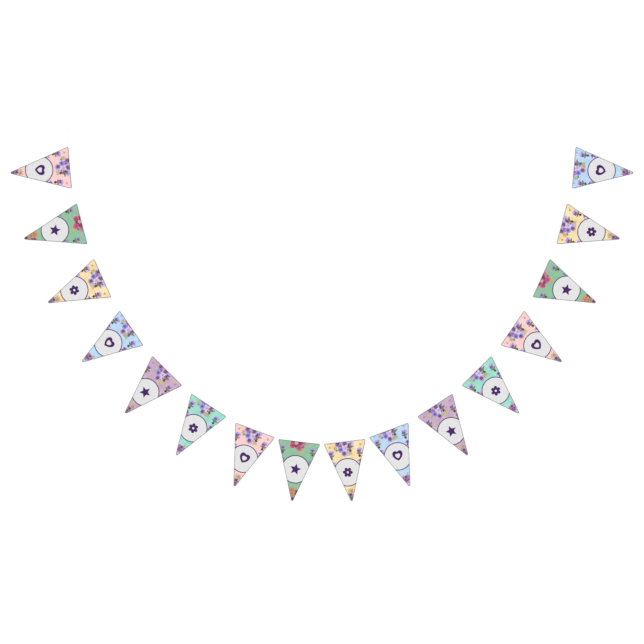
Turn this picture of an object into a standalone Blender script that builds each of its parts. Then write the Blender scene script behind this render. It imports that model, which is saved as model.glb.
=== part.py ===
"""Fabric bunting: sixteen triangular cloth pennants sewn to one white ribbon.

The string lies flat on the plane z = 0 in a deep curve that opens towards +Y, with every tip pointing
out of the curve. Metres, +Z up. The left half mirrors the right half in plan.
"""

import math

import bpy
from mathutils import Vector

# Driving dimensions, in metres.
PENNANT_WIDTH = 0.1375       # along the top edge, to where the sides would meet it
PENNANT_HEIGHT = 0.202       # from the top edge to where the two sides would meet
TOP_CORNER_RADIUS = 0.0025
TIP_RADIUS = 0.003
CLOTH_THICKNESS = 0.001
RIBBON_WIDTH = 0.010
RIBBON_THICKNESS = 0.001
RIBBON_SETBACK = 0.001       # the ribbon's upper edge, below the pennants' top edges
CLEARANCE = 0.0003           # between pieces that are sewn together
TAIL_LENGTH = 0.0925         # bare ribbon past the last pennant
TAIL_CLIMB = 97.0            # degrees, the way the ribbon's end points
HUMP_SHARE = 0.04            # how far bare ribbon stands up, as a share of its length
FOOT_Y = -0.4442             # the lowest point of the curve of top edges

# Where the cloth comes down from the ribbon to the floor, measured below the top edge.
STEP_START = 0.013
STEP_END = 0.038
CORNER_CURL_END = 0.060      # a lifted top corner is flat again here
CORNER_CURL_REACH = 0.030    # and this far in from the pennant's side
TIP_CURL_START = 0.130       # a lifted tip starts to rise here

# The string from its lowest point outwards, a row for each mirrored pair of pennants: the bare ribbon
# before the pennant in mm, how that bare stretch climbs, and how the pennant's top edge climbs, in degrees.
STRING = (
    # bare, bare_climb, top_climb
    (6.7, 0.0, 6.9),
    (14.1, 24.6, 20.5),
    (37.1, 33.7, 33.2),
    (41.9, 41.6, 44.8),
    (47.5, 49.8, 55.6),
    (53.5, 57.9, 65.8),
    (54.9, 65.8, 75.5),
    (52.8, 71.4, 85.0),
)

# How far the cloth stands off the floor, in mm. The pennants take the rows in turn.
CURLS = (
    # tip, left_corner, right_corner
    (1.4, 0.3, 0.8),
    (0.5, 0.9, 0.2),
    (2.2, 0.4, 0.5),
    (0.9, 0.7, 0.9),
    (1.8, 0.2, 0.4),
)

# The grounds repeat in this order along the string: name, red, green and blue of the cloth.
GROUNDS = (
    ("pink_cloth", 0.97, 0.65, 0.63),
    ("green_cloth", 0.29, 0.54, 0.36),
    ("cream_cloth", 0.97, 0.76, 0.44),
    ("blue_cloth", 0.52, 0.68, 0.95),
    ("mauve_cloth", 0.59, 0.41, 0.58),
    ("aqua_cloth", 0.37, 0.79, 0.67),
)
RIBBON_WHITE = (0.90, 0.90, 0.89)
CLOTH_ROUGHNESS = 0.85
RIBBON_ROUGHNESS = 0.45

# Grid steps.
COLUMNS = 10
FIELD_ROWS = 14
ROUND_STEPS = 3
BARE_STEPS = 8
TAIL_STEPS = 8

HALF_WIDTH = PENNANT_WIDTH / 2
HALF_TIP_ANGLE = math.atan2(HALF_WIDTH, PENNANT_HEIGHT)
MM = 0.001


def clear_scene():
    for old in list(bpy.data.objects):
        bpy.data.objects.remove(old, do_unlink=True)


def smooth(share):
    """0 up to a share of 0, 1 from a share of 1, and a smooth S between."""
    share = min(max(share, 0.0), 1.0)
    return share * share * (3.0 - 2.0 * share)


def make_material(name, colour, roughness):
    material = bpy.data.materials.new(name)
    material.use_nodes = True
    shader = material.node_tree.nodes["Principled BSDF"]
    shader.inputs["Base Color"].default_value = (*colour, 1.0)
    shader.inputs["Roughness"].default_value = roughness
    shader.inputs["Metallic"].default_value = 0.0
    return material


def outline_rows():
    """The pennant's outline as rows of (depth below the top edge, half width), from the top down."""
    corner_turn = math.pi / 2 + HALF_TIP_ANGLE
    corner_inset = TOP_CORNER_RADIUS * math.tan(corner_turn / 2)
    corner_x = HALF_WIDTH - corner_inset
    rows = []
    for step in range(ROUND_STEPS + 1):
        angle = corner_turn * step / ROUND_STEPS
        depth = TOP_CORNER_RADIUS * (1.0 - math.cos(angle))
        rows.append((depth, corner_x + TOP_CORNER_RADIUS * math.sin(angle)))
    tip_centre = PENNANT_HEIGHT - TIP_RADIUS / math.sin(HALF_TIP_ANGLE)
    side_end = tip_centre + TIP_RADIUS * math.sin(HALF_TIP_ANGLE)
    side_start = rows[-1][0]
    for step in range(1, FIELD_ROWS):
        depth = side_start + (side_end - side_start) * step / FIELD_ROWS
        rows.append((depth, (PENNANT_HEIGHT - depth) * math.tan(HALF_TIP_ANGLE)))
    tip_turn = math.pi / 2 - HALF_TIP_ANGLE
    for step in range(ROUND_STEPS):
        angle = HALF_TIP_ANGLE + tip_turn * step / ROUND_STEPS
        rows.append((tip_centre + TIP_RADIUS * math.sin(angle), TIP_RADIUS * math.cos(angle)))
    return rows


def underside(x, depth, curl):
    """Height of a pennant's underside, over the ribbon at its top and on the floor below that."""
    tip, left_corner, right_corner = curl
    over_ribbon = RIBBON_THICKNESS + CLEARANCE
    height = over_ribbon * (1.0 - smooth((depth - STEP_START) / (STEP_END - STEP_START)))
    height += tip * MM * smooth((depth - TIP_CURL_START) / (PENNANT_HEIGHT - TIP_CURL_START))
    side = HALF_WIDTH - depth * math.tan(HALF_TIP_ANGLE)
    corner = right_corner if x > 0 else left_corner
    from_side = 1.0 - smooth((side - abs(x)) / CORNER_CURL_REACH)
    height += corner * MM * from_side * (1.0 - smooth(depth / CORNER_CURL_END))
    return height


def string_places():
    """Middle of the top edge and climb of each pennant on the right half, from the foot outwards."""
    point = Vector((0.0, FOOT_Y))
    places = []
    for bare, bare_climb, top_climb in STRING:
        point = point + heading(bare_climb) * bare * MM
        along = heading(top_climb)
        places.append((point + along * HALF_WIDTH, top_climb))
        point = point + along * PENNANT_WIDTH
    return places


def heading(degrees):
    angle = math.radians(degrees)
    return Vector((math.cos(angle), math.sin(angle)))


def all_places():
    """Every pennant's place and climb, from left to right."""
    right = string_places()
    left = [(Vector((-place.x, place.y)), -climb) for place, climb in reversed(right)]
    return left + right


def grid_object(name, columns, rows, material, collection):
    """A flat grid facing +Z, from -1 to 1 each way, thickened upwards by a Solidify modifier."""
    bpy.ops.mesh.primitive_grid_add(x_subdivisions=columns, y_subdivisions=rows, size=2)
    obj = bpy.context.object
    obj.name = name
    obj.data.name = name
    obj.data.materials.append(material)
    for other in list(obj.users_collection):
        other.objects.unlink(obj)
    collection.objects.link(obj)
    return obj


def thicken(obj, thickness):
    solid = obj.modifiers.new("Thickness", "SOLIDIFY")
    solid.thickness = thickness
    solid.offset = 1.0
    solid.use_even_offset = True


def make_pennant(number, place, climb, material, collection):
    rows = outline_rows()
    curl = CURLS[number % len(CURLS)]
    obj = grid_object(f"pennant_{number:02d}", COLUMNS, len(rows) - 1, material, collection)
    for vertex in obj.data.vertices:
        across, up = vertex.co.x, vertex.co.y
        depth, half_width = rows[round((1.0 - up) / 2.0 * (len(rows) - 1))]
        x = across * half_width
        vertex.co = (x, -depth, underside(x, depth, curl))
    obj.location = (place.x, place.y, 0.0)
    obj.rotation_euler = (0.0, 0.0, math.radians(climb))
    thicken(obj, CLOTH_THICKNESS)
    return obj


def curved_stretch(start, start_way, end, end_way, steps):
    """Points and ways of a smooth bare stretch of ribbon between two held ends, the ends included."""
    length = (end - start).length
    points = []
    for step in range(steps + 1):
        t = step / steps
        point = (
            start * (2 * t**3 - 3 * t**2 + 1)
            + start_way * length * (t**3 - 2 * t**2 + t)
            + end * (3 * t**2 - 2 * t**3)
            + end_way * length * (t**3 - t**2)
        )
        way = (
            start * (6 * t**2 - 6 * t)
            + start_way * length * (3 * t**2 - 4 * t + 1)
            + end * (6 * t - 6 * t**2)
            + end_way * length * (3 * t**2 - 2 * t)
        )
        height = length * HUMP_SHARE * math.sin(math.pi * t) ** 2
        points.append((point, way.normalized(), height))
    return points


def ribbon_route():
    """Centre line of the ribbon from its left end to its right end: point, way and height."""
    setback = RIBBON_SETBACK + RIBBON_WIDTH / 2
    held = []
    for place, climb in all_places():
        along = heading(climb)
        below = Vector((along.y, -along.x))
        middle = place + below * setback
        held.append((middle - along * HALF_WIDTH, middle + along * HALF_WIDTH, along))
    last_point, last_way = held[-1][1], held[-1][2]
    tail_way = heading(TAIL_CLIMB)
    tail_end = last_point + (last_way + tail_way).normalized() * TAIL_LENGTH
    tail = curved_stretch(last_point, last_way, tail_end, tail_way, TAIL_STEPS)
    tail = [(point, way, 0.0) for point, way, _ in tail]
    route = [(Vector((-point.x, point.y)), Vector((way.x, -way.y)), 0.0) for point, way, _ in reversed(tail)]
    for here, after in zip(held, held[1:]):
        route.extend(curved_stretch(here[1], here[2], after[0], after[2], BARE_STEPS))
    route.extend(tail)
    return route


def make_ribbon(material, collection):
    route = ribbon_route()
    obj = grid_object("ribbon", len(route) - 1, 1, material, collection)
    for vertex in obj.data.vertices:
        along, side = vertex.co.x, vertex.co.y
        point, way, height = route[round((1.0 + along) / 2.0 * (len(route) - 1))]
        left = Vector((-way.y, way.x))
        place = point + left * side * RIBBON_WIDTH / 2
        vertex.co = (place.x, place.y, height)
    thicken(obj, RIBBON_THICKNESS)
    return obj


def main():
    clear_scene()
    collection = bpy.data.collections.new("fabric_bunting")
    bpy.context.scene.collection.children.link(collection)
    cloths = [make_material(name, colour, CLOTH_ROUGHNESS) for name, *colour in GROUNDS]
    for index, (place, climb) in enumerate(all_places()):
        make_pennant(index + 1, place, climb, cloths[index % len(cloths)], collection)
    make_ribbon(make_material("white_ribbon", RIBBON_WHITE, RIBBON_ROUGHNESS), collection)


main()
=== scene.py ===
from math import atan2, cos, pi, radians, sin, tan

import bpy
from mathutils import Matrix, Vector


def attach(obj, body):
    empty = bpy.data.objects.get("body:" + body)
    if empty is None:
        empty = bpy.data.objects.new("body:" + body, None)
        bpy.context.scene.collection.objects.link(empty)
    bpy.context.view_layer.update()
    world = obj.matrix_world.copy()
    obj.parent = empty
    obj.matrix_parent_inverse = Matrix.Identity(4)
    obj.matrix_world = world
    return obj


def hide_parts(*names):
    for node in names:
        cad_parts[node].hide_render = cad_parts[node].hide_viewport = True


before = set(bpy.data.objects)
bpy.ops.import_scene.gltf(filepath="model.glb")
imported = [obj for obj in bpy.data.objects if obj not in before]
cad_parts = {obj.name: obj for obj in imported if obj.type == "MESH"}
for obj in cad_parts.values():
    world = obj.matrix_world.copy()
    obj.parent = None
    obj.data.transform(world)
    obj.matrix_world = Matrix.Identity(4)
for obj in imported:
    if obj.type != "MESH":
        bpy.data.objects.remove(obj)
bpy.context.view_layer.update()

mm = 0.001
print("frame loaded,", len(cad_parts), "nodes")

# The string's layout: the same sizes as in the part's source, in metres and degrees.
layout = {
    "footY": -0.4442,   # lowest point of the curve of top edges
    "pennantWidth": 0.1375,
    "pennantHeight": 0.202,   # to where the two sides would meet
    "topCornerRadius": 0.0025,
    "tipRadius": 0.003,
    "tailLength": 0.0925,
    "tailClimb": 97.0,
    "steps": (   # bare ribbon in mm, its climb, the climb of the pennant's top edge
        (6.7, 0.0, 6.9),
        (14.1, 24.6, 20.5),
        (37.1, 33.7, 33.2),
        (41.9, 41.6, 44.8),
        (47.5, 49.8, 55.6),
        (53.5, 57.9, 65.8),
        (54.9, 65.8, 75.5),
        (52.8, 71.4, 85.0),
    ),
}

clothSettings = {
    "thickness": 0.45 * mm,
    "overRibbon": 0.75 * mm,   # underside of the cloth above the floor, where it lies on the ribbon
    "stepStart": 13 * mm,   # depths below the top edge where the cloth comes down to the floor
    "stepEnd": 38 * mm,
    "edgeLift": 0.55 * mm,   # the overlocked edge holds the rim up by this much
    "edgeLiftReach": 5 * mm,
    "tipCurlStart": 130 * mm,
    "cornerCurlEnd": 60 * mm,
    "cornerCurlReach": 30 * mm,
    "rippleHeight": 0.30 * mm,
    "rippleLength": 46 * mm,
    "rippleAcross": 19 * mm,   # across the cloth, over 2 pi
    "rippleReach": 22 * mm,   # in from the side
    "rippleStart": 30 * mm,   # the ripples are full from this depth
    "phases": (1.7, 2.3),   # keep the ripples of two pennants apart, down and across
    "columns": 44,
    "bunching": 0.65,   # how far the columns crowd towards the two sides
    "fieldRows": 56,
    "roundSteps": 5,
    "curls": (   # mm off the floor at the tip, left corner and right corner, in turn
        (1.4, 0.3, 0.8),
        (0.5, 0.9, 0.2),
        (2.2, 0.4, 0.5),
        (0.9, 0.7, 0.9),
        (1.8, 0.2, 0.4),
    ),
}

halfTipAngle = atan2(layout["pennantWidth"] / 2, layout["pennantHeight"])


def smooth(value, start, end):   # 0 up to the start, 1 from the end
    share = min(max((value - start) / (end - start), 0.0), 1.0)
    return share * share * (3.0 - 2.0 * share)


def heading(degrees):
    return Vector((cos(radians(degrees)), sin(radians(degrees))))


def pennantPlaces():   # middle of each top edge and its climb, from left to right
    point = Vector((0.0, layout["footY"]))
    right = []
    for bare, bareClimb, topClimb in layout["steps"]:
        point = point + heading(bareClimb) * bare * mm
        along = heading(topClimb)
        right.append((point + along * layout["pennantWidth"] / 2, topClimb))
        point = point + along * layout["pennantWidth"]
    left = [(Vector((-place.x, place.y)), -climb) for place, climb in reversed(right)]
    return left + right


def sideAt(depth):
    return layout["pennantWidth"] / 2 - depth * tan(halfTipAngle)


def underside(x, depth, number):   # height of the cloth's underside at a point of the flat pattern
    s = clothSettings
    tip, leftCorner, rightCorner = s["curls"][number % len(s["curls"])]
    corner = rightCorner if x > 0 else leftCorner
    fromSide = sideAt(depth) - abs(x)
    height = s["overRibbon"] * (1.0 - smooth(depth, s["stepStart"], s["stepEnd"]))
    height += tip * mm * smooth(depth, s["tipCurlStart"], layout["pennantHeight"])
    height += corner * mm * (1.0 - smooth(fromSide, 0.0, s["cornerCurlReach"])) * (
        1.0 - smooth(depth, 0.0, s["cornerCurlEnd"]))
    toEdge = min(depth, fromSide * cos(halfTipAngle))
    height += s["edgeLift"] * (1.0 - smooth(toEdge, 0.0, s["edgeLiftReach"]))
    downPhase = s["phases"][0] * number
    acrossPhase = s["phases"][1] * downPhase
    ripple = (sin(2 * pi * depth / s["rippleLength"] + downPhase)
              * sin(x / s["rippleAcross"] + acrossPhase))
    nearSide = (1.0 - smooth(fromSide, 0.0, s["rippleReach"])) * smooth(depth, 0.0, s["rippleStart"])
    return height + s["rippleHeight"] * (0.5 + 0.5 * ripple) * nearSide


def outlineRows(fieldRows, roundSteps):   # (depth, half width) of the rows, from the top edge down
    cornerRadius, tipRadius = layout["topCornerRadius"], layout["tipRadius"]
    turn = pi / 2 + halfTipAngle
    cornerX = layout["pennantWidth"] / 2 - cornerRadius * tan(turn / 2)
    rows = []
    for step in range(roundSteps + 1):
        angle = turn * step / roundSteps
        rows.append((cornerRadius * (1 - cos(angle)), cornerX + cornerRadius * sin(angle)))
    tipCentre = layout["pennantHeight"] - tipRadius / sin(halfTipAngle)
    sideStart = rows[-1][0]
    sideEnd = tipCentre + tipRadius * sin(halfTipAngle)
    for step in range(1, fieldRows):
        depth = sideStart + (sideEnd - sideStart) * step / fieldRows
        rows.append((depth, sideAt(depth)))
    for step in range(roundSteps):
        angle = halfTipAngle + (pi / 2 - halfTipAngle) * step / roundSteps
        rows.append((tipCentre + tipRadius * sin(angle), tipRadius * cos(angle)))
    return rows


def inPlace(place, climb):
    return Matrix.Translation((place.x, place.y, 0.0)) @ Matrix.Rotation(radians(climb), 4, "Z")


def newObject(name, data):
    obj = bpy.data.objects.new(name, data)
    bpy.context.scene.collection.objects.link(obj)
    return obj


def addPiece(mesh, material):
    obj = newObject(mesh.name, mesh)
    mesh.materials.append(material)
    mesh.shade_smooth()
    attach(obj, "root")
    return obj


def thicken(obj, thickness):
    thick = obj.modifiers.new("Thickness", "SOLIDIFY")
    thick.thickness = thickness
    thick.offset = 1.0
    return thick


def newMesh(name, points, faceList, uvName, uvs):   # with a uv for each point
    mesh = bpy.data.meshes.new(name)
    mesh.from_pydata(points, [], faceList)
    layer = mesh.uv_layers.new(name=uvName)
    for loop in mesh.loops:
        layer.data[loop.index].uv = uvs[loop.vertex_index]
    return mesh


def gridMesh(name, columns, rows, uvName, spotAt):   # spotAt gives a point and its uv from column and row
    spots = [spotAt(column, row) for row in range(rows + 1) for column in range(columns + 1)]
    wide = columns + 1
    faceList = [(r * wide + c, (r + 1) * wide + c, (r + 1) * wide + c + 1, r * wide + c + 1)
                for r in range(rows) for c in range(columns)]
    return newMesh(name, [point for point, uv in spots], faceList, uvName, [uv for point, uv in spots])


def tubeMesh(name, paths, closed, stepLength, sides, ringAt):   # a tube along each path of points and ways
    points, faceList, uvs = [], [], []
    for path in paths:
        first, rings = len(points), len(path)
        for index, (centre, along) in enumerate(path):
            across = Vector((along.y, -along.x, 0.0)).normalized()
            for side in range(sides):
                wide, high = ringAt(index, 2 * pi * side / sides)
                points.append(centre + across * wide + Vector((0.0, 0.0, high)))
                uvs.append((index * stepLength, side / sides))
        for index in range(rings if closed else rings - 1):
            here, after = first + index * sides, first + (index + 1) % rings * sides
            for side in range(sides):
                nextSide = (side + 1) % sides
                faceList.append((here + side, here + nextSide, after + nextSide, after + side))
        if not closed:
            faceList.append(tuple(first + side for side in reversed(range(sides))))
            faceList.append(tuple(first + (rings - 1) * sides + side for side in range(sides)))
    return newMesh(name, points, faceList, "run", uvs)


def toLinear(red, green, blue):
    def channel(value):
        value = value / 255
        return value / 12.92 if value <= 0.04045 else ((value + 0.055) / 1.055) ** 2.4
    return (channel(red), channel(green), channel(blue), 1.0)


def feed(tree, node, values):   # links the node's inputs to sockets, or sets plain values
    for label, value in values.items():
        if isinstance(value, bpy.types.NodeSocket):
            tree.links.new(value, node.inputs[label])
        else:
            node.inputs[label].default_value = value


def addNode(tree, kind, values, **settings):   # gives the new node's outputs
    node = tree.nodes.new("ShaderNode" + kind)
    for name, setting in settings.items():
        setattr(node, name, setting)
    feed(tree, node, values)
    return node.outputs


def calc(tree, operation, first, second=0.5, third=0.5):
    return addNode(tree, "Math", {0: first, 1: second, 2: third}, operation=operation)[0]


def times(tree, first, second):
    return calc(tree, "MULTIPLY", first, second)


def timesPlus(tree, first, second, third):   # the first two multiplied, plus the third
    return calc(tree, "MULTIPLY_ADD", first, second, third)


def vectorCalc(tree, operation, first, second=None):   # a value or a vector, as the operation gives
    values = {0: first}
    if second is not None:
        values["Scale" if operation == "SCALE" else 1] = second
    outputs = addNode(tree, "VectorMath", values, operation=operation)
    return outputs["Value" if operation in ("DOT_PRODUCT", "DISTANCE", "LENGTH") else "Vector"]


def between(tree, value, low, high):   # 0 at low, 1 at high, smooth between; needs no clamp
    return addNode(tree, "MapRange", {"Value": value, "From Min": low, "From Max": high},
                   interpolation_type="SMOOTHSTEP", clamp=False)["Result"]


def mix(tree, amount, first, second):
    return addNode(tree, "Mix", {"Factor": amount, 6: first, 7: second}, data_type="RGBA")[2]


def noise(tree, place, scale, detail):
    return addNode(tree, "TexNoise", {"Vector": place, "Scale": scale, "Detail": detail})["Fac"]


def turnedBy(tree, vector, angle, invert):
    return addNode(tree, "VectorRotate", {"Vector": vector, "Angle": angle},
                   rotation_type="Z_AXIS", invert=invert)[0]


def flatVector(tree, right, up):
    return addNode(tree, "CombineXYZ", {0: right, 1: up})[0]


def rightAndUp(tree, vector):   # dot products, which leave no third output over
    return [vectorCalc(tree, "DOT_PRODUCT", vector, axis) for axis in ((1.0, 0.0, 0.0), (0.0, 1.0, 0.0))]


vectorSockets = ("Place", "Spot")
colourSockets = ("Colour", "Petal", "Shade", "Heart", "Ink", "Disc", "Ring")


def newGroup(name, inputs, outputs):   # sockets that aren't listed above are plain values
    tree = bpy.data.node_groups.new(name, "ShaderNodeTree")
    for direction, labels in (("INPUT", inputs), ("OUTPUT", outputs)):
        for label in labels:
            kind = "Vector" if label in vectorSockets else "Color" if label in colourSockets else "Float"
            tree.interface.new_socket(name=label, in_out=direction, socket_type="NodeSocket" + kind)
    return tree, tree.nodes.new("NodeGroupInput").outputs, tree.nodes.new("NodeGroupOutput")


def useGroup(tree, name, values):
    return addNode(tree, "Group", values, node_tree=bpy.data.node_groups[name])


def localSpot(tree, given):   # the print's place turned and scaled to one motif: x, y and distance
    apart = vectorCalc(tree, "SUBTRACT", given["Place"], given["Spot"])
    turned = turnedBy(tree, apart, given["Turn"], True)
    scaled = vectorCalc(tree, "SCALE", turned, calc(tree, "DIVIDE", 1.0, given["Size"]))
    return *rightAndUp(tree, scaled), vectorCalc(tree, "LENGTH", scaled)


printInputs = ("Colour", "Place", "Wobble")
stampInputs = (*printInputs, "Spot", "Turn", "Size", "Petal", "Shade", "Heart")
markInputs = ("Colour", "Place", "Spot", "Turn", "Size", "Ink")


def buildStamp(name, draw, inputs):   # draw gives how far out in the motif a place is, and its colour there
    tree, given, out = newGroup(name, inputs, ("Colour",))
    reach, colour = draw(tree, given, *localSpot(tree, given))
    inside = between(tree, reach, low=1.02, high=0.95)
    feed(tree, out, {"Colour": mix(tree, inside, given["Colour"], colour)})


def lobes(tree, angle, count, wave="COSINE"):   # 1 along the middle of each petal, 0 between two of them
    return calc(tree, "ABSOLUTE", calc(tree, wave, times(tree, angle, count / 2)))


def unevenRim(tree, given, lobe, power, low, high, uneven):   # low between two petals, high at their ends
    rim = timesPlus(tree, calc(tree, "POWER", lobe, power), high - low, low)
    return timesPlus(tree, given["Wobble"], uneven, rim)


def veined(tree, petal, ink, wave, reach, strength, end):   # fine lines that fade out towards the rim
    amount = times(tree, timesPlus(tree, wave, strength, strength), calc(tree, "SUBTRACT", end, reach))
    return mix(tree, amount, petal, ink)


def folded(tree, petal, shade, lobe):   # darker where two petals meet
    sharpness, share = 3.0, 0.8
    fold = calc(tree, "POWER", calc(tree, "SUBTRACT", 1.0, lobe), sharpness)
    return mix(tree, times(tree, fold, share), petal, shade)


def tinted(tree, petal, ink, value, share, low, high):   # a share of the ink, coming in from low to high
    return mix(tree, times(tree, between(tree, value, low, high), share), petal, ink)


def drawBlossom(tree, given, x, y, distance):   # five soft petals round a small heart
    shade, mottle, veins, veinBend = given["Shade"], 0.9, 35.0, 4.0
    angle = calc(tree, "ARCTAN2", y, x)
    lobe = lobes(tree, angle, 5)
    rim = unevenRim(tree, given, lobe, power=0.5, low=0.54, high=1.0, uneven=0.40)
    reach = calc(tree, "DIVIDE", distance, rim)
    pigment = timesPlus(tree, given["Wobble"], mottle, between(tree, reach, low=0.15, high=0.85))
    petal = mix(tree, pigment, shade, given["Petal"])
    wave = calc(tree, "SINE", timesPlus(tree, angle, veins, times(tree, reach, veinBend)))
    petal = veined(tree, petal, shade, wave, reach, strength=0.15, end=1.1)
    petal = folded(tree, petal, shade, lobe)
    petal = tinted(tree, petal, shade, reach, share=0.35, low=0.88, high=0.99)
    return reach, mix(tree, between(tree, distance, low=0.20, high=0.13), petal, given["Heart"])


def drawPansy(tree, given, x, y, distance):   # two darker petals above, three paler ones below, a dark face
    mottle, upperShade, lowerGrowth, veins, paleness = 0.8, 0.8, 0.09, 44.0, 0.45
    faceCore, faceLobes, faceStrength, upperLoss = 0.20, 0.30, 0.95, 0.5
    white, eyeColour = (1.0, 1.0, 1.0, 1.0), toLinear(216, 176, 110)
    fromTop = calc(tree, "ARCTAN2", x, y)
    lobe = lobes(tree, fromTop, 5, "SINE")
    down = times(tree, calc(tree, "COSINE", fromTop), -1.0)
    rim = unevenRim(tree, given, lobe, power=0.42, low=0.56, high=0.94, uneven=0.34)
    reach = calc(tree, "DIVIDE", distance, timesPlus(tree, down, lowerGrowth, rim))
    upper = between(tree, down, low=-0.30, high=-0.55)
    pigment = timesPlus(tree, given["Wobble"], mottle, times(tree, upper, upperShade))
    petal = mix(tree, pigment, given["Petal"], given["Shade"])
    pale = mix(tree, paleness, given["Petal"], white)
    petal = tinted(tree, petal, pale, reach, share=0.55, low=0.50, high=0.92)
    wave = calc(tree, "SINE", times(tree, fromTop, veins))
    petal = veined(tree, petal, given["Heart"], wave, reach, strength=0.35, end=0.85)
    petal = folded(tree, petal, given["Shade"], lobe)
    faceReach = calc(tree, "DIVIDE", distance, timesPlus(tree, lobe, faceLobes, faceCore))
    face = times(tree, between(tree, faceReach, low=1.15, high=0.75),
                 timesPlus(tree, upper, -upperLoss, faceStrength))
    petal = mix(tree, face, petal, given["Heart"])
    return reach, mix(tree, between(tree, distance, low=0.075, high=0.045), petal, eyeColour)


def drawRose(tree, given, x, y, distance):   # rolled petals that wind inwards, lit from the upper left
    turns, scallops, scallopDepth, light, mottle, layerContrast, base = 2.6, 5.0, 0.10, 0.28, 1.2, 0.75, 0.12
    angle = calc(tree, "ARCTAN2", y, x)
    rim = unevenRim(tree, given, lobes(tree, angle, 6), power=0.6, low=0.80, high=1.0, uneven=0.34)
    reach = calc(tree, "DIVIDE", distance, rim)
    wind = timesPlus(tree, angle, 1 / (2 * pi), times(tree, reach, turns))
    scallop = calc(tree, "SINE", times(tree, angle, scallops))
    layer = calc(tree, "FRACT", timesPlus(tree, scallop, scallopDepth, wind))
    lit = times(tree, calc(tree, "SUBTRACT", y, x), light)
    mottled = timesPlus(tree, given["Wobble"], mottle, lit)
    pigment = calc(tree, "ADD", mottled, timesPlus(tree, layer, layerContrast, base))
    petal = mix(tree, pigment, given["Shade"], given["Petal"])
    petal = tinted(tree, petal, given["Heart"], layer, share=0.60, low=0.78, high=0.94)
    return reach, tinted(tree, petal, given["Shade"], reach, share=0.75, low=0.70, high=0.05)


def drawLeaf(tree, given, x, y, distance):   # pointed, along its own x; slim makes a stalk, broad a bud
    lean, uneven, thinnest, mottle, farSide = 0.28, 0.45, 0.001, 1.0, 0.40
    veins, veinWidth, veinInk, midrib, beyond = 4.0, 0.16, 0.35, 0.09, 2.0
    slim = given["Slim"]
    taper = calc(tree, "SUBTRACT", 1.0, times(tree, x, x))
    half = times(tree, times(tree, taper, timesPlus(tree, x, -lean, 1.0)), slim)
    half = timesPlus(tree, given["Wobble"], times(tree, slim, uneven), half)
    off = calc(tree, "ABSOLUTE", y)
    reach = calc(tree, "DIVIDE", off, calc(tree, "MAXIMUM", half, thinnest))
    sideShade = times(tree, calc(tree, "GREATER_THAN", y, 0.0), farSide)
    pigment = timesPlus(tree, given["Wobble"], mottle, sideShade)
    leaf = mix(tree, pigment, given["Petal"], given["Shade"])
    vein = calc(tree, "FRACT", times(tree, calc(tree, "SUBTRACT", x, off), veins))
    leaf = mix(tree, times(tree, calc(tree, "LESS_THAN", vein, veinWidth), veinInk), leaf, given["Heart"])
    leaf = mix(tree, calc(tree, "LESS_THAN", reach, midrib), leaf, given["Heart"])
    leaf = tinted(tree, leaf, given["Shade"], reach, share=0.45, low=0.75, high=1.0)
    return timesPlus(tree, calc(tree, "LESS_THAN", taper, 0.0), beyond, reach), leaf


def buildMark(name, insideOf):   # printed in one ink
    tree, given, out = newGroup(name, markInputs, ("Colour",))
    inside = insideOf(tree, *localSpot(tree, given))
    feed(tree, out, {"Colour": mix(tree, inside, given["Colour"], given["Ink"])})


def insideUnitHeart(tree, x, y):
    xx = times(tree, x, x)
    yy = times(tree, y, y)
    bulge = calc(tree, "SUBTRACT", calc(tree, "ADD", xx, yy), 1.0)
    cubed = times(tree, times(tree, bulge, bulge), bulge)
    return calc(tree, "LESS_THAN", cubed, times(tree, times(tree, xx, yy), y))


def insideHeart(tree, x, y, distance):   # a heart with a smaller one left open in it
    shrink, raised = 2.1, -0.05
    openX = times(tree, x, shrink)
    openY = timesPlus(tree, y, shrink, raised)
    return calc(tree, "SUBTRACT", insideUnitHeart(tree, x, y), insideUnitHeart(tree, openX, openY))


def insideStar(tree, x, y, distance):   # five points, the first one up
    inner, step = 0.46, pi / 5
    angle = calc(tree, "ABSOLUTE", calc(tree, "WRAP", calc(tree, "ARCTAN2", x, y), step, -step))
    cosPart = inner * sin(step)
    sinPart = 1.0 - inner * cos(step)
    edge = calc(tree, "ADD", times(tree, calc(tree, "COSINE", angle), cosPart),
                times(tree, calc(tree, "SINE", angle), sinPart))
    return calc(tree, "LESS_THAN", times(tree, distance, edge), cosPart)


def insideFlower(tree, x, y, distance):   # six round petals with an open middle
    roundness, petalLength, notch, opening = 0.55, 0.48, 0.52, 0.22
    lobe = lobes(tree, calc(tree, "ARCTAN2", y, x), 6)
    rim = timesPlus(tree, calc(tree, "POWER", lobe, roundness), petalLength, notch)
    return times(tree, calc(tree, "LESS_THAN", distance, rim), calc(tree, "GREATER_THAN", distance, opening))


def buildMedallion():   # pale disc with a thin ring round it
    inputs = (*printInputs, "Spot", "Radius", "Ring Width", "Disc", "Ring")
    tree, given, out = newGroup("medallion", inputs, ("Colour",))
    off = calc(tree, "SUBTRACT", vectorCalc(tree, "DISTANCE", given["Place"], given["Spot"]), given["Radius"])
    disc = mix(tree, calc(tree, "LESS_THAN", off, 0.0), given["Colour"], given["Disc"])
    uneven = 0.8
    nib = timesPlus(tree, given["Wobble"], uneven, times(tree, given["Ring Width"], 0.5))
    onRing = calc(tree, "LESS_THAN", calc(tree, "ABSOLUTE", off), nib)
    feed(tree, out, {"Colour": mix(tree, onRing, disc, given["Ring"])})


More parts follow.
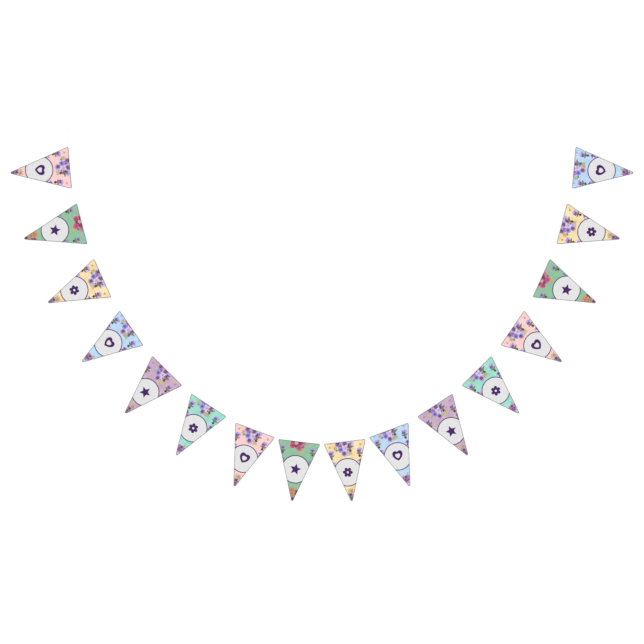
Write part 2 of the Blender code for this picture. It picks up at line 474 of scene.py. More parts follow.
def buildPlainWeave():   # yarns over and under each other, some thicker than others; its shade output is painted shade of the yarn crowns and dips, plus the slubs' own tone
    tree, given, out = newGroup("plainWeave", ("Place", "Pitch", "Slub"), ("Height", "Painted Yarn Shade And Slub"))
    crown, slubStretch, slubScale, slubDetail = 0.4, (6.0, 0.5, 1.0), 0.35, 2.0
    turn = calc(tree, "DIVIDE", pi, given["Pitch"])
    warp, weft = [calc(tree, "SINE", times(tree, way, turn)) for way in rightAndUp(tree, given["Place"])]
    warpOnTop = calc(tree, "GREATER_THAN", times(tree, warp, weft), 0.0)
    warp, weft = [calc(tree, "ABSOLUTE", wave) for wave in (warp, weft)]
    over = times(tree, warp, calc(tree, "POWER", weft, crown))
    under = times(tree, weft, calc(tree, "POWER", warp, crown))
    height = timesPlus(tree, calc(tree, "SUBTRACT", over, under), warpOnTop, under)
    stretched = vectorCalc(tree, "MULTIPLY", given["Place"], slubStretch)
    uneven = times(tree, noise(tree, stretched, slubScale, slubDetail), given["Slub"])
    # painted shade: the colour follows the yarns' height, lighter on the crowns and darker in the dips, with
    # the slubs' own tone added
    feed(tree, out, {"Height": calc(tree, "ADD", height, uneven),
                     "Painted Yarn Shade And Slub": timesPlus(tree, height, 0.5, times(tree, uneven, 0.5))})


def buildDyeStreaks():   # long, slightly slanting streaks, 0 to 1
    tree, given, out = newGroup("dyeStreaks", ("Place", "Turn", "Length", "Width"), ("Amount",))
    broadShare = 0.8
    right, up = rightAndUp(tree, turnedBy(tree, given["Place"], given["Turn"], False))
    squeezed = flatVector(tree, calc(tree, "DIVIDE", right, given["Length"]),
                          calc(tree, "DIVIDE", up, given["Width"]))
    broad = calc(tree, "SUBTRACT", noise(tree, given["Place"], scale=0.035, detail=1.0), 0.5)
    both = timesPlus(tree, broad, broadShare, noise(tree, squeezed, scale=1.0, detail=2.0))
    feed(tree, out, {"Amount": between(tree, both, low=0.36, high=0.64)})


buildStamp("blossomStamp", drawBlossom, stampInputs)
buildStamp("pansyStamp", drawPansy, stampInputs)
buildStamp("roseStamp", drawRose, stampInputs)
buildStamp("leafStamp", drawLeaf, (*stampInputs, "Slim"))
buildMark("heartMark", insideHeart)
buildMark("starMark", insideStar)
buildMark("flowerMark", insideFlower)
buildMedallion()
buildPlainWeave()
buildDyeStreaks()
print("print stamps ready")

# Pigments of the print: petal, shade and heart colours, 0 to 255.
pigments = {
    "violet": ((158, 118, 190), (94, 54, 132), (58, 26, 76)),
    "iris": ((142, 116, 194), (82, 62, 148), (54, 34, 100)),
    "indigo": ((104, 72, 152), (66, 38, 110), (46, 22, 78)),
    "orchid": ((204, 152, 204), (166, 112, 182), (120, 72, 142)),
    "plum": ((168, 120, 174), (102, 60, 116), (74, 36, 80)),
    "mulberry": ((172, 114, 180), (116, 62, 130), (84, 40, 94)),
    "lilac": ((190, 164, 206), (116, 82, 160), (62, 34, 100)),
    "lavender": ((200, 184, 226), (146, 126, 196), (86, 62, 140)),
    "fig": ((174, 134, 186), (110, 78, 128), (80, 50, 92)),
    "amethyst": ((184, 138, 206), (132, 86, 166), (92, 50, 118)),
    "damson": ((162, 120, 162), (102, 62, 108), (62, 28, 66)),
    "cornflower": ((166, 168, 224), (94, 86, 180), (82, 68, 156)),
    "mist": ((222, 210, 226), (188, 166, 204), (160, 138, 184)),
    "pinkMist": ((226, 208, 230), (194, 168, 208), (164, 134, 178)),
    "pearl": ((222, 214, 222), (190, 178, 196), (152, 136, 162)),
    "heather": ((190, 170, 198), (138, 112, 152), (96, 66, 108)),
    "smoke": ((162, 136, 166), (104, 78, 112), (70, 48, 74)),
    "agate": ((170, 178, 194), (134, 130, 166), (98, 84, 132)),
    "slate": ((142, 132, 166), (98, 84, 128), (64, 48, 88)),
    "haze": ((150, 176, 182), (130, 146, 168), (112, 116, 146)),
    "mauveBud": ((172, 122, 158), (112, 64, 102), (206, 168, 190)),
    "blush": ((226, 160, 164), (196, 124, 134), (240, 196, 168)),
    "shell": ((226, 180, 174), (198, 138, 142), (240, 212, 200)),
    "dew": ((156, 192, 206), (140, 176, 196), (176, 204, 212)),
    "tan": ((214, 172, 118), (176, 130, 82), (232, 204, 150)),
    "taupe": ((188, 150, 152), (162, 124, 128), (204, 174, 174)),
    "dustyRose": ((200, 138, 140), (158, 88, 100), (222, 172, 166)),
    "magenta": ((216, 98, 144), (150, 42, 90), (240, 160, 186)),
    "fuchsia": ((228, 104, 158), (160, 46, 104), (246, 168, 198)),
    "crimson": ((162, 66, 94), (96, 30, 52), (206, 124, 138)),
    "maroon": ((126, 74, 84), (74, 34, 48), (150, 100, 100)),
    "coral": ((216, 158, 130), (174, 110, 90), (236, 196, 158)),
    "ochre": ((202, 174, 142), (156, 124, 102), (226, 206, 170)),
    "peach": ((202, 160, 132), (166, 118, 100), (228, 194, 160)),
    "apricot": ((214, 176, 138), (182, 136, 104), (234, 206, 168)),
    "ochreLeaf": ((182, 166, 118), (136, 116, 76), (208, 196, 150)),
    "goldLeaf": ((196, 192, 118), (154, 146, 78), (220, 214, 156)),
    "strawLeaf": ((190, 186, 138), (152, 144, 96), (212, 206, 164)),
    "meadowLeaf": ((178, 178, 118), (134, 130, 78), (206, 202, 152)),
    "sageLeaf": ((172, 182, 126), (132, 142, 88), (198, 206, 156)),
    "limeLeaf": ((172, 186, 100), (120, 138, 62), (210, 220, 150)),
    "oliveLeaf": ((128, 120, 76), (82, 70, 50), (170, 160, 112)),
    "mossLeaf": ((118, 124, 92), (78, 80, 62), (148, 154, 116)),
    "brownLeaf": ((136, 112, 86), (88, 66, 58), (166, 144, 108)),
    "umber": ((92, 70, 62), (52, 38, 38), (124, 100, 84)),
    "berry": ((66, 48, 48), (36, 26, 32), (100, 80, 74)),
    "nightLeaf": ((70, 72, 72), (40, 42, 48), (104, 108, 104)),
}

# Pigments that change on some of the grounds.
colourways = {
    "cool": {},
    "warm": {"mist": "pinkMist", "plum": "mulberry", "meadowLeaf": "strawLeaf", "oliveLeaf": "ochreLeaf",
             "apricot": "strawLeaf", "peach": "taupe"},
    "fresh": {"violet": "iris", "mist": "pinkMist", "plum": "mulberry", "meadowLeaf": "sageLeaf",
              "brownLeaf": "mossLeaf", "oliveLeaf": "mossLeaf", "strawLeaf": "sageLeaf",
              "goldLeaf": "sageLeaf", "berry": "nightLeaf"},
}

# Motifs in mm on the flat pennant: kind, right of the middle, below the top edge, turn in degrees, half size,
# pigment, and for a leaf its slimness. A ground renders with 56 motifs and buds in all, but black with 57.
posies = {"sideSprig": (
    ("leaf", 39.3, 42.6, 172, 6, "brownLeaf", 0.44),
    ("leaf", 50.2, 42.6, 6, 6.2, "brownLeaf", 0.42),
    ("blossom", 37.5, 67, 30, 5.6, "pinkMist"),
    ("blossom", 53.5, 67, 60, 5.6, "pinkMist"),
    ("leaf", 44, 51, 84, 5.2, "berry", 0.84),
    ("blossom", 42.5, 30.2, 10, 6.4, "lavender"),
    ("blossom", 49.2, 31.6, 20, 7.2, "lavender"),
    ("pansy", 45.4, 35.2, 18, 7.4, "lilac"),
    ("blossom", 40.6, 35.4, 60, 5, "violet"),
    ("leaf", 44.6, 43.4, 88, 6.2, "brownLeaf", 0.66),
    ("blossom", 45, 67, 15, 6.2, "violet"),
    ("leaf", 42, 75, 70, 5, "umber", 0.42),
    ("blossom", 50, 74, 40, 5.8, "heather"),
), "dimSprig": (
    ("leaf", 43.5, 43, 168, 6, "mossLeaf", 0.5),
    ("leaf", 52.5, 43, 12, 6, "mossLeaf", 0.5),
    ("leaf", 48.8, 46, 90, 6, "mossLeaf", 0.46),
    ("leaf", 48.8, 49, 84, 4.8, "umber", 0.8),
    ("blossom", 43.6, 33, 60, 7.2, "haze"),
    ("blossom", 50.2, 32.5, 20, 8, "agate"),
    ("blossom", 47.2, 34.5, 50, 6, "slate"),
    ("blossom", 43.4, 71.5, 15, 7, "haze"),
    ("blossom", 54.4, 71.5, 55, 7, "haze"),
    ("leaf", 41.5, 77, 70, 5.4, "smoke", 0.5),
), "violetBouquet": (
    ("leaf", -33.5, 17.5, 150, 7.4, "meadowLeaf", 0.56),
    ("leaf", -34.5, 22.5, 188, 6.2, "meadowLeaf", 0.5),
    ("leaf", -29.5, 26.5, 216, 5.6, "oliveLeaf", 0.44),
    ("leaf", 25, 17.5, 6, 5.6, "ochreLeaf", 0.48),
    ("blossom", 20.2, 7, 12, 8.8, "lavender"),
    ("pansy", 17, 9.5, -24, 9, "lavender"),
    ("blossom", 9.4, 12, 30, 7.8, "violet"),
    ("leaf", 12, 15, 76, 7.2, "indigo", 0.36),
    ("pansy", -23.4, 5.5, 14, 12, "plum"),
    ("blossom", -12.8, 8, 40, 7.4, "orchid"),
    ("pansy", -1.2, 6, -12, 12.4, "fig"),
    ("rose", -18, 14.5, 50, 7.4, "amethyst"),
    ("blossom", 3, 45, 0, 4.6, "mist"),
    ("blossom", 0, 21.5, 70, 10.8, "mist"),
    ("blossom", 5.2, 36, 12, 7.8, "mist"),
    ("blossom", -16.2, 25, 35, 10.6, "cornflower"),
    ("blossom", 8, 28, 40, 4.6, "lilac"),
    ("pansy", -6.2, 38.6, 10, 10.8, "fig"),
    ("leaf", 9.6, 20.5, 172, 5.4, "brownLeaf", 0.5),
    ("leaf", 19.4, 18.8, 8, 6.8, "brownLeaf", 0.6),
    ("leaf", 15, 25.5, 90, 7, "brownLeaf", 0.5),
    ("leaf", 15.4, 31.5, 84, 5.4, "umber", 0.84),
    ("leaf", 15, 40.6, -28, 8.2, "strawLeaf", 0.6),
    ("leaf", 8.8, 44.5, 226, 5.6, "strawLeaf", 0.44),
), "goldSpray": (
    ("leaf", 10.5, 39.5, 44, 10.5, "goldLeaf", 0.4),
    ("leaf", 14.5, 40.5, -18, 7.6, "goldLeaf", 0.56),
), "roseBouquet": (
    ("leaf", 12.5, 41.5, 34, 9.4, "limeLeaf", 0.6),
    ("leaf", 3.5, 44.5, 200, 7, "meadowLeaf", 0.44),
    ("leaf", 24, 17, 6, 8, "taupe", 0.44),
    ("leaf", 34, 14, 2, 6, "taupe", 0.26),
    ("leaf", -31, 14, 164, 5.6, "taupe", 0.34),
    ("rose", 14, 13, 100, 9.4, "dustyRose"),
    ("rose", -19, 13, 10, 8.6, "crimson"),
    ("rose", 4, 14, 60, 8.4, "crimson"),
    ("rose", -20.8, 24, 20, 9.8, "magenta"),
    ("blossom", -7.2, 23.5, 30, 8.2, "crimson"),
    ("rose", -8.8, 14.5, 140, 6.2, "shell"),
    ("rose", 3, 30.5, 150, 10.6, "fuchsia"),
    ("blossom", 14.5, 25.5, 0, 5.6, "mauveBud"),
), "violetTip": (
    ("leaf", -6, 161, 112, 6.6, "strawLeaf", 0.4),
    ("leaf", 0, 158.5, 92, 6.4, "strawLeaf", 0.42),
    ("leaf", 7, 160.5, 62, 7.4, "apricot", 0.5),
    ("blossom", 3.5, 164.5, 20, 6.2, "peach"),
    ("leaf", -5, 168, 120, 5, "ochreLeaf", 0.4),
    ("leaf", 7, 168.5, 58, 5, "ochreLeaf", 0.4),
    ("blossom", -7, 177.5, 10, 6.6, "mauveBud"),
    ("blossom", 6, 180, 40, 5.8, "mauveBud"),
    ("pansy", -0.6, 176.4, 8, 9.2, "damson"),
    ("blossom", -0.4, 186.5, 20, 7, "smoke"),
    ("blossom", -0.4, 196, 50, 8.6, "damson"),
), "magentaTip": (
    ("blossom", -8, 168.5, 0, 5.8, "pearl"),
    ("blossom", 8.5, 168, 30, 5.2, "pearl"),
    ("leaf", 8, 167, 48, 7, "strawLeaf", 0.5),
    ("blossom", -7, 176, 10, 6.4, "mauveBud"),
    ("blossom", 7, 176.5, 40, 6.4, "mauveBud"),
    ("pansy", 0, 175.2, 8, 8.8, "mulberry"),
    ("blossom", -4.6, 183, 30, 6.4, "mulberry"),
    ("blossom", 4, 184, 40, 6.2, "fig"),
    ("blossom", -1.5, 188, 10, 6.4, "damson"),
    ("blossom", 0.5, 194, 20, 5.4, "heather"),
    ("blossom", 0.5, 204.5, 0, 10.5, "pearl"),
), "roseTip": (
    ("leaf", -8, 160.5, 14, 8, "limeLeaf", 0.3),
    ("rose", 6, 171.5, 10, 9.6, "ochre"),
    ("rose", -7.5, 171.5, 60, 11, "coral"),
    ("blossom", 12, 174, 30, 5.8, "maroon"),
    ("blossom", 9.5, 182, 30, 5.2, "maroon"),
    ("rose", -1, 187.5, 90, 8.6, "peach"),
    ("leaf", -5, 181, 200, 5.4, "oliveLeaf", 0.36),
    ("blossom", 0, 198.5, 30, 6.4, "maroon"),
    ("blossom", 0, 207, 20, 8, "maroon"),
)}

printSettings = {
    "repeats": {"sideSprig": 93.5, "dimSprig": 99.0},   # mm from one sprig across to the next
    "ringRight": -1.6,
    "ringDepth": 101.3,
    "ringRadius": 45.4,
    "ringWidth": 2.95,
    "disc": (222, 222, 222),
    "ring": (74, 46, 94),
    "ink": (68, 24, 98),
    "markTurn": -8.0,
    "markSizes": {"heartMark": 15.0, "starMark": 19.5, "flowerMark": 16.5},
    "streakTurn": 9.0,
    "streakLength": 26.0,   # mm, of the streaks in the dye
    "streakWidth": 3.4,
    "budPlaces": ((-51.0, 10.0), (50.0, 50.0)),   # mm right of the middle, turn in degrees
    "budDepth": 14.0,
    "budSize": 4.0,
}

# Each ground: its two dye colours, how far the whole print is moved up in mm, its colourway, its mark, the
# pigment of the buds in its corners if it has any, and its posies.
grounds = {
    "pink": {"dyes": ((246, 200, 196), (242, 207, 207)), "up": 0.0, "colourway": "cool",
             "mark": "heartMark", "buds": "blush", "posies": ("sideSprig", "violetBouquet", "violetTip")},
    "green": {"dyes": ((137, 187, 150), (147, 189, 163)), "up": 9.7, "colourway": "cool",
              "mark": "starMark", "posies": ("dimSprig", "roseBouquet", "roseTip")},
    "cream": {"dyes": ((243, 208, 157), (242, 227, 185)), "up": 0.0, "colourway": "cool",
              "mark": "flowerMark", "buds": "tan", "posies": ("sideSprig", "violetBouquet", "violetTip")},
    "blue": {"dyes": ((181, 206, 241), (187, 219, 240)), "up": 9.7, "colourway": "fresh",
             "mark": "heartMark", "buds": "dew",
             "posies": ("sideSprig", "violetBouquet", "goldSpray", "magentaTip")},
    "mauve": {"dyes": ((191, 161, 191), (203, 175, 186)), "up": 0.0, "colourway": "warm",
              "mark": "starMark", "buds": "taupe",
              "posies": ("sideSprig", "violetBouquet", "goldSpray", "violetTip")},
    "aqua": {"dyes": ((147, 214, 194), (161, 222, 209)), "up": 9.7, "colourway": "fresh",
             "mark": "flowerMark", "posies": ("sideSprig", "violetBouquet", "goldSpray", "magentaTip")},
}

clothLook = {
    "brush": (0.45, 3.0),   # scale per mm and detail of the print's uneven rims
    "wash": (0.16, 4.0),   # the same of the uneven dye
    "washDepth": 0.26,
    "brightness": 0.90,
    # painted shade of the yarn crowns and dips, with the slubs' tone, as a share of the colour
    "paintedYarnShade": 0.12,
    "fade": 0.62,   # of the back, towards unprinted cloth
    "unprinted": (240, 238, 236),
    "pitch": 0.62,   # mm from yarn to yarn
    "slub": 0.55,
    "bump": (0.35, 0.12 * mm),   # strength and height
    "shader": {"Roughness": 0.82, "Specular IOR Level": 0.25, "Sheen Weight": 0.08, "Sheen Roughness": 0.5},
}


def stampMotif(tree, printed, swaps, kind, right, down, turn, size, pigment, *slim):
    petal, shade, heart = (toLinear(*rgb) for rgb in pigments[swaps.get(pigment, pigment)])
    values = {**printed, "Spot": (right, -down, 0.0), "Turn": radians(turn), "Size": size,
              "Petal": petal, "Shade": shade, "Heart": heart}
    if slim:
        values["Slim"] = slim[0]
    return useGroup(tree, kind + "Stamp", values)["Colour"]


def buildPosy(name, motifs, swaps):   # a chain of stamps, each printed over the one before
    tree, given, out = newGroup(name, printInputs, ("Colour",))
    printed = {label: given[label] for label in printInputs}
    for motif in motifs:
        printed["Colour"] = stampMotif(tree, printed, swaps, *motif)
    feed(tree, out, {"Colour": printed["Colour"]})


for posyName, colourway in sorted({(posy, g["colourway"]) for g in grounds.values() for posy in g["posies"]}):
    buildPosy(posyName + " " + colourway, posies[posyName], colourways[colourway])
print("posies ready,", sum(len(motifs) for motifs in posies.values()), "motifs")


def startMaterial(name):
    material = bpy.data.materials.new(name)
    material.use_nodes = True
    tree = material.node_tree
    return material, tree, tree.nodes["Principled BSDF"]


def uvPlace(tree, name):
    return addNode(tree, "UVMap", {}, uv_map=name)[0]


def setBump(tree, shader, height, strength, distance):
    bump = addNode(tree, "Bump", {"Height": height, "Strength": strength, "Distance": distance})
    feed(tree, shader, {"Normal": bump[0]})


def printedCloth(groundName, faded):   # the face, or the paler back where the print shows through
    ground = grounds[groundName]
    p = printSettings
    look = clothLook
    material, tree, shader = startMaterial(groundName + (" cloth back" if faded else " cloth"))
    place = addNode(tree, "Mapping", {   # metres to mm, and the print's move up the cloth
        "Vector": uvPlace(tree, "print"), "Scale": (1 / mm, 1 / mm, 1.0),
        "Location": (0.0, -ground["up"], 0.0)})[0]
    wobble = calc(tree, "SUBTRACT", noise(tree, place, *look["brush"]), 0.5)
    right, up = rightAndUp(tree, place)
    streaks = useGroup(tree, "dyeStreaks", {"Place": place, "Turn": radians(p["streakTurn"]),
                                            "Length": p["streakLength"], "Width": p["streakWidth"]})["Amount"]
    colour = mix(tree, streaks, *(toLinear(*dye) for dye in ground["dyes"]))
    printed = {"Colour": colour, "Place": place, "Wobble": wobble}
    if "buds" in ground:
        for budX, budTurn in p["budPlaces"]:
            bud = ("blossom", budX, p["budDepth"], budTurn, p["budSize"], ground["buds"])
            printed["Colour"] = stampMotif(tree, printed, {}, *bud)
    for posy in ground["posies"]:
        posyPlace = place
        if posy in p["repeats"]:   # the side sprigs repeat across the cloth
            posyPlace = flatVector(tree, calc(tree, "WRAP", right, p["repeats"][posy], 0.0), up)
        posyName = posy + " " + ground["colourway"]
        printed["Colour"] = useGroup(tree, posyName, {**printed, "Place": posyPlace})["Colour"]
    centre = (p["ringRight"], -p["ringDepth"], 0.0)
    colour = useGroup(tree, "medallion", {
        **printed, "Spot": centre, "Radius": p["ringRadius"], "Ring Width": p["ringWidth"],
        "Disc": toLinear(*p["disc"]), "Ring": toLinear(*p["ring"])})["Colour"]
    colour = useGroup(tree, ground["mark"], {
        "Colour": colour, "Place": place, "Spot": centre, "Turn": radians(p["markTurn"]),
        "Size": p["markSizes"][ground["mark"]], "Ink": toLinear(*p["ink"])})["Colour"]
    if faded:
        colour = mix(tree, look["fade"], colour, toLinear(*look["unprinted"]))
    weave = useGroup(tree, "plainWeave", {"Place": place, "Pitch": look["pitch"], "Slub": look["slub"]})
    dye = timesPlus(tree, noise(tree, place, *look["wash"]), look["washDepth"],
                    look["brightness"] - look["washDepth"] / 2)
    # the dye's uneven tone times the painted yarn shade
    darker = timesPlus(tree, weave["Painted Yarn Shade And Slub"], look["paintedYarnShade"], dye)
    feed(tree, shader, {"Base Color": vectorCalc(tree, "SCALE", colour, darker), **look["shader"]})
    setBump(tree, shader, weave["Height"], *look["bump"])
    return material


threadLook = {
    "paintedGrooveShade": 0.80,   # painted shade in the twist's grooves, as a share of the colour
    "plies": 2.0,
    "bump": (0.4, 0.08 * mm),
    "shader": {"Roughness": 0.7, "Sheen Weight": 0.1},
}


def threadMaterial(name, rgb, twistsPerMetre):   # fine twist along the run of the thread, with painted shade in its grooves
    look = threadLook
    material, tree, shader = startMaterial(name)
    run, around = rightAndUp(tree, uvPlace(tree, "run"))
    twist = calc(tree, "FRACT", timesPlus(tree, run, twistsPerMetre, times(tree, around, look["plies"])))
    ridge = calc(tree, "ABSOLUTE", timesPlus(tree, twist, 2.0, -1.0))
    # painted shade: the colour goes darker in the twist's grooves
    dark = toLinear(*(look["paintedGrooveShade"] * value for value in rgb))
    feed(tree, shader, {"Base Color": mix(tree, ridge, toLinear(*rgb), dark), **look["shader"]})
    setBump(tree, shader, ridge, *look["bump"])
    return material


ribbonLook = {
    "white": (252, 252, 252),
    "shade": (236, 236, 239),
    "streakStretch": (25.0, 60.0, 1.0),
    "streaks": 0.25,   # of the shade
    "ribPitch": 0.45 * mm,
    "selvedge": (0.43, 0.455),   # where the denser edge comes in, from the middle as shares of the width
    "selvedgeShade": 0.30,
    "selvedgeRoughness": 0.25,
    "selvedgeHeight": 2.0,
    "roughness": 0.38,
    "bump": (0.25, 0.06 * mm),
    "shader": {"Sheen Weight": 0.15, "Specular IOR Level": 0.4},
}


def ribbonMaterial():   # satin with fine cross ribs and denser edges
    look = ribbonLook
    material, tree, shader = startMaterial("white ribbon")
    uv = uvPlace(tree, "run")
    run, across = rightAndUp(tree, uv)
    rib = calc(tree, "ABSOLUTE", calc(tree, "SINE", times(tree, run, pi / look["ribPitch"])))
    fromMiddle = calc(tree, "ABSOLUTE", calc(tree, "SUBTRACT", across, 0.5))
    selvedge = between(tree, fromMiddle, *look["selvedge"])
    streaks = noise(tree, vectorCalc(tree, "MULTIPLY", uv, look["streakStretch"]), scale=1.0, detail=2.0)
    amount = timesPlus(tree, streaks, look["streaks"], times(tree, selvedge, look["selvedgeShade"]))
    colour = mix(tree, amount, toLinear(*look["white"]), toLinear(*look["shade"]))
    roughness = timesPlus(tree, selvedge, look["selvedgeRoughness"], look["roughness"])
    feed(tree, shader, {"Base Color": colour, "Roughness": roughness, **look["shader"]})
    setBump(tree, shader, timesPlus(tree, selvedge, look["selvedgeHeight"], rib), *look["bump"])
    return material


def makeCloth(number, place, climb, groundName):
    s = clothSettings
    rows = outlineRows(s["fieldRows"], s["roundSteps"])
    world = inPlace(place, climb)

    def spotAt(column, row):   # columns crowd towards the sides
        even = 2.0 * column / s["columns"] - 1.0
        share = s["bunching"] * sin(even * pi / 2) + (1.0 - s["bunching"]) * even
        depth, half = rows[row]
        x = share * half
        return world @ Vector((x, -depth, underside(x, depth, number))), (x, -depth)

    mesh = gridMesh(f"cloth_{number:02d}", s["columns"], len(rows) - 1, "print", spotAt)
    obj = addPiece(mesh, faces[groundName])
    mesh.materials.append(backs[groundName])
    thicken(obj, s["thickness"]).material_offset = 1
    return obj


edgeSettings = {
    "halfWidth": 0.78 * mm,
    "halfHeight": 0.60 * mm,
    "inset": 0.5,   # of the half width, in from the cloth's rim
    "floorGap": 0.05 * mm,
    "wrapPitch": 2.1 * mm,   # one turn of the overlock thread
    "wrapDepth": 0.20,
    "stepsPerWrap": 6,
    "sides": 6,
    "fieldRows": 40,
    "roundSteps": 8,
    "thread": (90, 84, 94),
    "twistsPerWrap": 3,
}


def outlineLoop(rows, inset, step):   # evenly spaced points a little inside the outline
    right = [Vector((half, depth)) for depth, half in rows]
    left = [Vector((-point.x, point.y)) for point in reversed(right)]
    closed = right + left + [right[0]]
    loop = []
    carried = 0.0
    for start, end in zip(closed, closed[1:]):
        length = (end - start).length
        while carried < length:
            along = (end - start) / length
            inward = Vector((-along.y, along.x))
            loop.append((start + along * carried + inward * inset, along))
            carried += step
        carried -= length
    return loop


def makeEdge(number, place, climb):   # overlock thread wrapped round the rim
    s = edgeSettings
    world = inPlace(place, climb)
    step = s["wrapPitch"] / s["stepsPerWrap"]
    rows = outlineRows(s["fieldRows"], s["roundSteps"])
    path = []
    for point, along in outlineLoop(rows, s["halfWidth"] * s["inset"], step):
        middle = underside(point.x, point.y, number) + clothSettings["thickness"] / 2
        centre = world @ Vector((point.x, -point.y, max(middle, s["halfHeight"] + s["floorGap"])))
        path.append((centre, world.to_3x3() @ Vector((along.x, -along.y, 0.0))))

    def ringAt(index, angle):
        turn = pi * index / s["stepsPerWrap"] + angle / 2
        ridge = 1.0 - s["wrapDepth"] * (1.0 - abs(sin(turn)))
        return s["halfWidth"] * ridge * cos(angle), s["halfHeight"] * ridge * sin(angle)

    mesh = tubeMesh(f"edge_{number:02d}", [path], True, step, s["sides"], ringAt)
    return addPiece(mesh, edgeThread)


seamSettings = {
    "depth": 6 * mm,   # below the top edge, along the ribbon's middle
    "endMargin": 7 * mm,
    "pitch": 3.2 * mm,
    "stitch": 2.5 * mm,
    "stitchSteps": 5,
    "radius": 0.21 * mm,
    "endNarrowing": 0.25,
    "arch": 0.16 * mm,
    "sunk": 0.10 * mm,   # the stitch's ends, into the cloth
    "sides": 6,
    "thread": (236, 234, 238),
    "twistsPerMetre": 1500.0,
}


def makeSeam(number, place, climb):   # the row of stitches that holds the cloth on the ribbon
    s = seamSettings
    world = inPlace(place, climb)
    half = sideAt(s["depth"]) - s["endMargin"]
    along = world.to_3x3() @ Vector((1.0, 0.0, 0.0))
    paths = []
    for stitch in range(int(2 * half / s["pitch"])):
        path = []
        for step in range(s["stitchSteps"] + 1):
            share = step / s["stitchSteps"]
            x = -half + stitch * s["pitch"] + s["stitch"] * share
            top = underside(x, s["depth"], number) + clothSettings["thickness"]
            rise = s["arch"] * sin(pi * share) - s["sunk"]
            path.append((world @ Vector((x, -s["depth"], top + rise)), along))
        paths.append(path)

    def ringAt(index, angle):
        wide = s["radius"] * (1.0 - s["endNarrowing"] * (1.0 - sin(pi * index / s["stitchSteps"])))
        return wide * cos(angle), wide * sin(angle)

    stepLength = s["stitch"] / s["stitchSteps"]
    mesh = tubeMesh(f"seam_{number:02d}", paths, False, stepLength, s["sides"], ringAt)
    return addPiece(mesh, seamThread)


def bareStretch(start, startWay, end, endWay, steps):   # as in the part's source: a smooth free stretch
    length = (end - start).length
    stretch = []
    for step in range(steps + 1):
        t = step / steps
        point = (start * (2 * t**3 - 3 * t**2 + 1) + startWay * length * (t**3 - 2 * t**2 + t)
                 + end * (3 * t**2 - 2 * t**3) + endWay * length * (t**3 - t**2))
        way = (start * (6 * t**2 - 6 * t) + startWay * length * (3 * t**2 - 4 * t + 1)
               + end * (6 * t - 6 * t**2) + endWay * length * (3 * t**2 - 2 * t))
        stretch.append((point, way.normalized(), length * sin(pi * t) ** 2))
    return stretch


ribbonSettings = {
    "width": 10 * mm,
    "thickness": 0.35 * mm,
    "setback": 1 * mm,
    "restHeight": 0.15 * mm,
    "humpShare": 0.012,
    "selvedge": 0.05 * mm,
    "selvedgeStart": 0.36,   # from the middle, as a share of the width
    "acrossSteps": 8,
    "bareSteps": 22,
    "heldSteps": 20,
    "tailSteps": 30,
    "tailWave": 0.5 * mm,
    "tailWaves": 2.2,
}


def ribbonRoute():   # centre line, way and height, from the left end to the right end
    s = ribbonSettings
    held = []
    for place, climb in pennantPlaces():
        along = heading(climb)
        middle = place + Vector((along.y, -along.x)) * (s["setback"] + s["width"] / 2)
        reach = along * layout["pennantWidth"] / 2
        held.append((middle - reach, middle + reach, along))
    lastPoint, lastWay = held[-1][1:]
    tailWay = heading(layout["tailClimb"])
    tailEnd = lastPoint + (lastWay + tailWay).normalized() * layout["tailLength"]
    tail = bareStretch(lastPoint, lastWay, tailEnd, tailWay, s["tailSteps"])
    turn = s["tailWaves"] * pi / s["tailSteps"]
    tail = [(point, way, s["tailWave"] * sin(turn * index) ** 2)
            for index, (point, way, hump) in enumerate(tail)]
    route = [(Vector((-point.x, point.y)), Vector((way.x, -way.y)), lift)
             for point, way, lift in reversed(tail)]
    for number, (start, end, along) in enumerate(held):
        for step in range(1, s["heldSteps"]):
            route.append((start.lerp(end, step / s["heldSteps"]), along, 0.0))
        if number + 1 < len(held):
            after = held[number + 1]
            for point, way, hump in bareStretch(end, along, after[0], after[2], s["bareSteps"]):
                route.append((point, way, hump * s["humpShare"]))
    return route + tail


def makeRibbon():
    s = ribbonSettings
    route = ribbonRoute()
    runs = [0.0]
    for here, after in zip(route, route[1:]):
        runs.append(runs[-1] + (after[0] - here[0]).length)

    def spotAt(column, row):
        point, way, lift = route[row]
        share = column / s["acrossSteps"]
        place = point + Vector((way.y, -way.x)) * (share - 0.5) * s["width"]
        rim = s["selvedge"] * smooth(abs(share - 0.5), s["selvedgeStart"], 0.5)
        return (place.x, place.y, s["restHeight"] + lift + rim), (runs[row], share)

    mesh = gridMesh("ribbon_tape", s["acrossSteps"], len(route) - 1, "run", spotAt)
    mesh.flip_normals()
    obj = addPiece(mesh, ribbonCloth)
    thicken(obj, s["thickness"])
    return obj, runs[-1]


studio = {
    "floorHalf": 25.0,
    "floorShader": {"Base Color": (0.93, 0.93, 0.93, 1.0), "Roughness": 0.9, "Specular IOR Level": 0.1},
    "worldStrength": 0.87,
    "sunStrength": 1.02,
    "sunAngle": 25.0,   # degrees across, for soft shadows
    "sunPlace": (-1.2, 1.6, 3.0),
    "lens": 85.0,
    "sensor": 36.0,
    "mmPerPixel": 202 / 61.17,   # a pennant's height in mm over its height in the photograph's pixels
    "photoPixels": 644,
    "centreX": 321.9,   # the string's middle and the foot of its curve, in the photograph
    "footPixelY": 444.25,
}


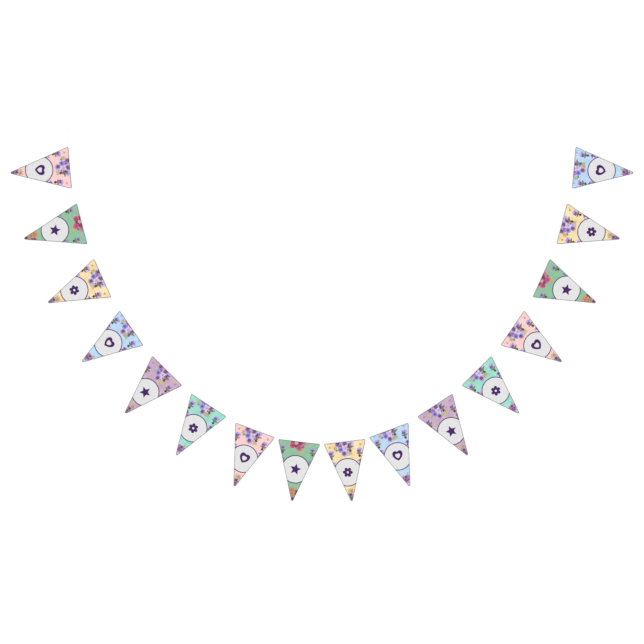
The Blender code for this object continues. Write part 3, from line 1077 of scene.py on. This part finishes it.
def makeStage():
    floorMaterial, tree, shader = startMaterial("floor")
    feed(tree, shader, studio["floorShader"])
    half = studio["floorHalf"]
    mesh = bpy.data.meshes.new("floor")
    mesh.from_pydata([(-half, -half, 0.0), (half, -half, 0.0), (half, half, 0.0), (-half, half, 0.0)], [],
                     [(0, 1, 2, 3)])
    mesh.materials.append(floorMaterial)
    floor = newObject("floor", mesh)


def makeStudio():
    s = studio
    scene = bpy.context.scene
    scene.world = bpy.data.worlds.new("studio")
    scene.world.use_nodes = True
    tree = scene.world.node_tree
    feed(tree, tree.nodes["Background"], {"Color": (1.0, 1.0, 1.0, 1.0), "Strength": s["worldStrength"]})
    light = bpy.data.lights.new("key", "SUN")
    light.energy = s["sunStrength"]
    light.angle = radians(s["sunAngle"])
    key = newObject("key", light)
    key.location = s["sunPlace"]
    key.rotation_euler = (-Vector(s["sunPlace"])).to_track_quat("-Z", "Y").to_euler()
    pixel = s["mmPerPixel"] * mm
    middle = s["photoPixels"] / 2
    lens = bpy.data.cameras.new("camera")
    lens.lens = s["lens"]
    lens.sensor_width = s["sensor"]
    camera = newObject("camera", lens)
    distance = s["photoPixels"] * pixel * s["lens"] / s["sensor"]
    camera.location = ((middle - s["centreX"]) * pixel,
                       layout["footY"] + (s["footPixelY"] - middle) * pixel, distance)
    scene.camera = camera
    scene.view_settings.view_transform = "Standard"


faces = {name: printedCloth(name, False) for name in grounds}
backs = {name: printedCloth(name, True) for name in grounds}
edgeTwist = edgeSettings["twistsPerWrap"] / edgeSettings["wrapPitch"]
edgeThread = threadMaterial("edge thread", edgeSettings["thread"], edgeTwist)
seamThread = threadMaterial("seam thread", seamSettings["thread"], seamSettings["twistsPerMetre"])
ribbonCloth = ribbonMaterial()
print("materials ready")

groundOrder = list(grounds)
for index, (place, climb) in enumerate(pennantPlaces()):
    number = index + 1
    cloth = makeCloth(number, place, climb, groundOrder[index % len(groundOrder)])
    edge = makeEdge(number, place, climb)
    seam = makeSeam(number, place, climb)
    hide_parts(f"pennant_{number:02d}")
print("pennants ready")

ribbonTape, ribbonLength = makeRibbon()
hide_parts("ribbon")
print("ribbon ready,", round(ribbonLength, 3), "m")

makeStage()
makeStudio()
print("studio ready")
